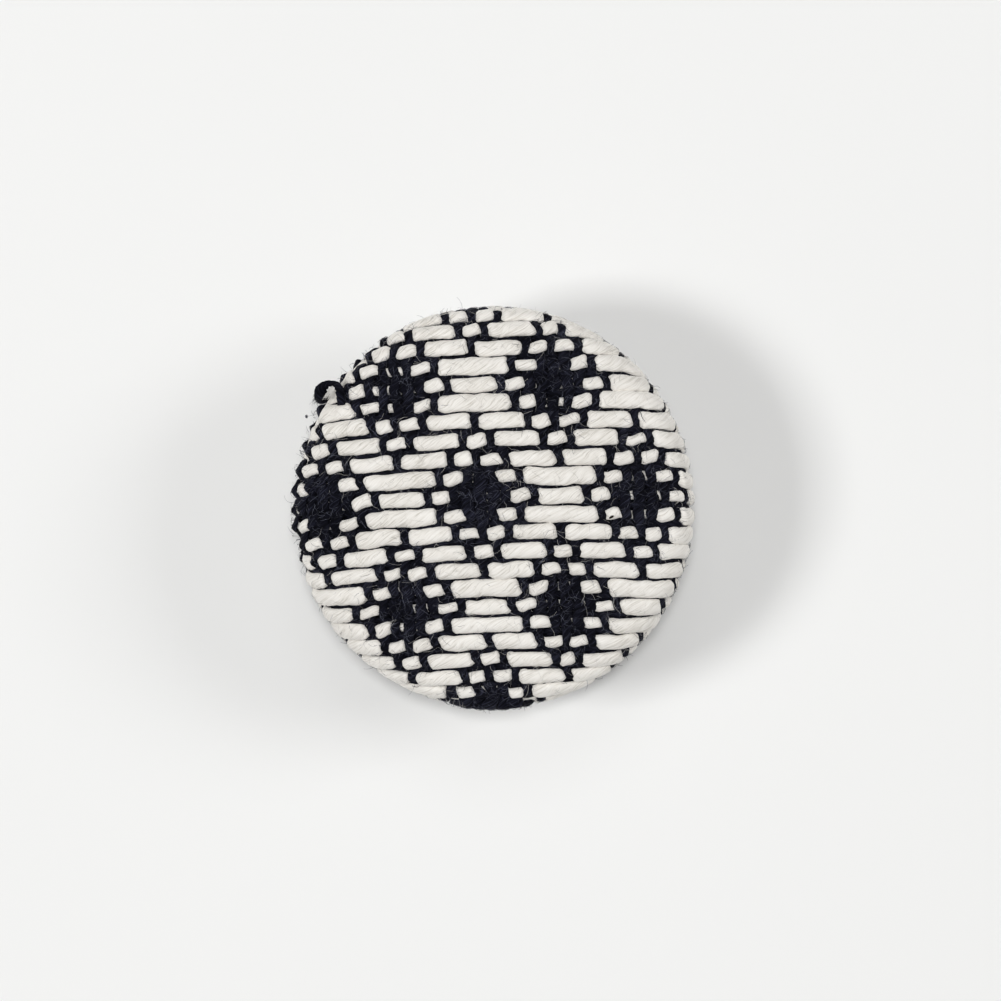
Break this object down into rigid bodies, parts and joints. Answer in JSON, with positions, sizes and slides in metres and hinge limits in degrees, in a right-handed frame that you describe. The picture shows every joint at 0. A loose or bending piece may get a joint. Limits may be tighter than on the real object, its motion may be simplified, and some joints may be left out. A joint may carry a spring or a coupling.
{
  "type": "kogin-stitched obidome brooch",
  "caption": "Round domed obi brooch: navy cloth with white counted-thread diamonds drawn over a cap, on a metal holder for a flat obi cord.",
  "frame": {"origin": "middle of the plane that the holder's straps rest on, below the middle of the round face", "axes": "+Z out of the domed face, +X along the cord, +Y towards the top of the face as it is worn"},
  "size_m": [0.03, 0.03, 0.0143],
  "materials": {
    "navy_cloth": "plain-woven indigo cotton with soft, slightly fuzzy threads",
    "white_yarn": "loosely twisted matt ivory cotton yarn",
    "button_metal": "pressed bare aluminium, satin",
    "holder_metal": "nickel-plated, lightly brushed"
  },
  "bodies": {
    "root": {"cloth_cover": "navy_cloth", "button_shell": "button_metal", "back_plate": "button_metal", "cord_holder": "holder_metal"}
  },
  "joints": []
}
